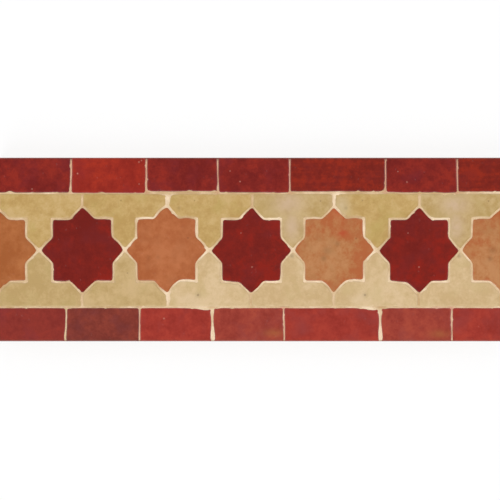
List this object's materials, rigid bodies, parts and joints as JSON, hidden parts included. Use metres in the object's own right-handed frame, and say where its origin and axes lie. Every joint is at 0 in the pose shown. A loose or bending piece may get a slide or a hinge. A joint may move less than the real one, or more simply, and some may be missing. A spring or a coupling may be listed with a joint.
{
  "type": "mosaic pool border tile",
  "caption": "Flat border strip of hand-cut glazed mosaic for a pool's waterline: star tiles between tee-shaped tiles, edged by brick courses, grouted on a mortar bed.",
  "frame": {"origin": "middle of the back face, which lies on the floor", "axes": "+X along the strip, +Y across it towards the upper brick course, +Z out of the glazed face"},
  "size_m": [0.3048, 0.1108, 0.015],
  "materials": {
    "red_star_glaze": "gloss",
    "peach_star_glaze": "gloss",
    "honey_tee_glaze": "gloss",
    "red_brick_glaze": "gloss",
    "grout": "matte"
  },
  "bodies": {
    "root": {"half_star_left": "peach_star_glaze", "star_1": "red_star_glaze", "star_2": "peach_star_glaze", "star_3": "red_star_glaze", "star_4": "peach_star_glaze", "star_5": "red_star_glaze", "half_star_right": "peach_star_glaze", "upper_tee_1": "honey_tee_glaze", "upper_tee_2": "honey_tee_glaze", "upper_tee_3": "honey_tee_glaze", "upper_tee_4": "honey_tee_glaze", "upper_tee_5": "honey_tee_glaze", "upper_tee_6": "honey_tee_glaze", "lower_tee_1": "honey_tee_glaze", "lower_tee_2": "honey_tee_glaze", "lower_tee_3": "honey_tee_glaze", "lower_tee_4": "honey_tee_glaze", "lower_tee_5": "honey_tee_glaze", "lower_tee_6": "honey_tee_glaze", "upper_brick_1": "red_brick_glaze", "upper_brick_2": "red_brick_glaze", "upper_brick_3": "red_brick_glaze", "upper_brick_4": "red_brick_glaze", "upper_brick_5": "red_brick_glaze", "upper_brick_6": "red_brick_glaze", "upper_brick_7": "red_brick_glaze", "lower_brick_1": "red_brick_glaze", "lower_brick_2": "red_brick_glaze", "lower_brick_3": "red_brick_glaze", "lower_brick_4": "red_brick_glaze", "lower_brick_5": "red_brick_glaze", "lower_brick_6": "red_brick_glaze", "lower_brick_7": "red_brick_glaze", "grout_bed": "grout"}
  },
  "joints": []
}
